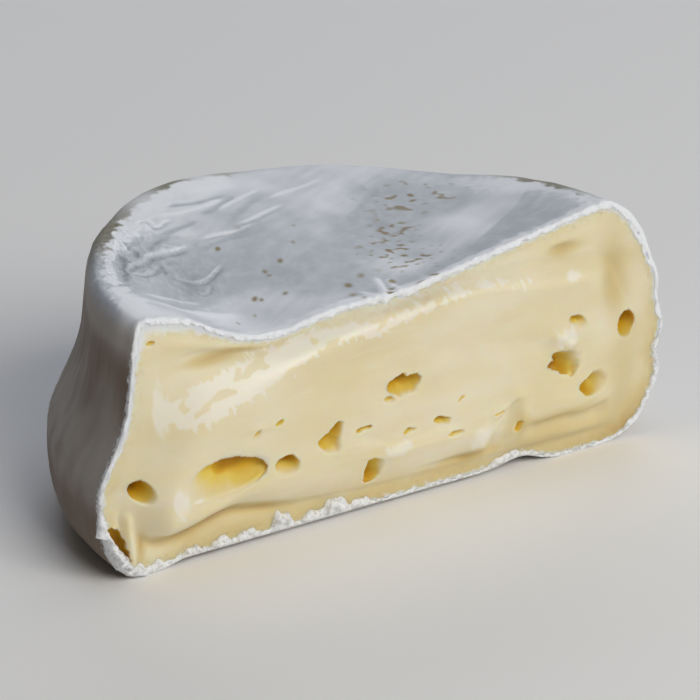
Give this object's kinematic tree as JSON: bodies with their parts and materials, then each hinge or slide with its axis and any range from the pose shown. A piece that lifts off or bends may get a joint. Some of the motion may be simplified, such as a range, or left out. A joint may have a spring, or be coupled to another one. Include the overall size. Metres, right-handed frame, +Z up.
{
  "type": "half camembert cheese",
  "caption": "Half of a ripe soft cheese wheel with a white bloomy rind, cut through the middle to show ivory paste that bulges and has small eyes.",
  "frame": {"origin": "middle of the box round the half wheel, at the flat base it rests on", "axes": "+X along the cut, +Y away from the cut face towards the round back, +Z up"},
  "size_m": [0.1054, 0.0562, 0.0419],
  "materials": {
    "rind": "chalky white mould bloom, dull and slightly velvety, with faint tan specks",
    "paste": "moist ivory paste, softly glossy and slightly translucent"
  },
  "bodies": {
    "root": {"camembert": "rind"}
  },
  "joints": []
}
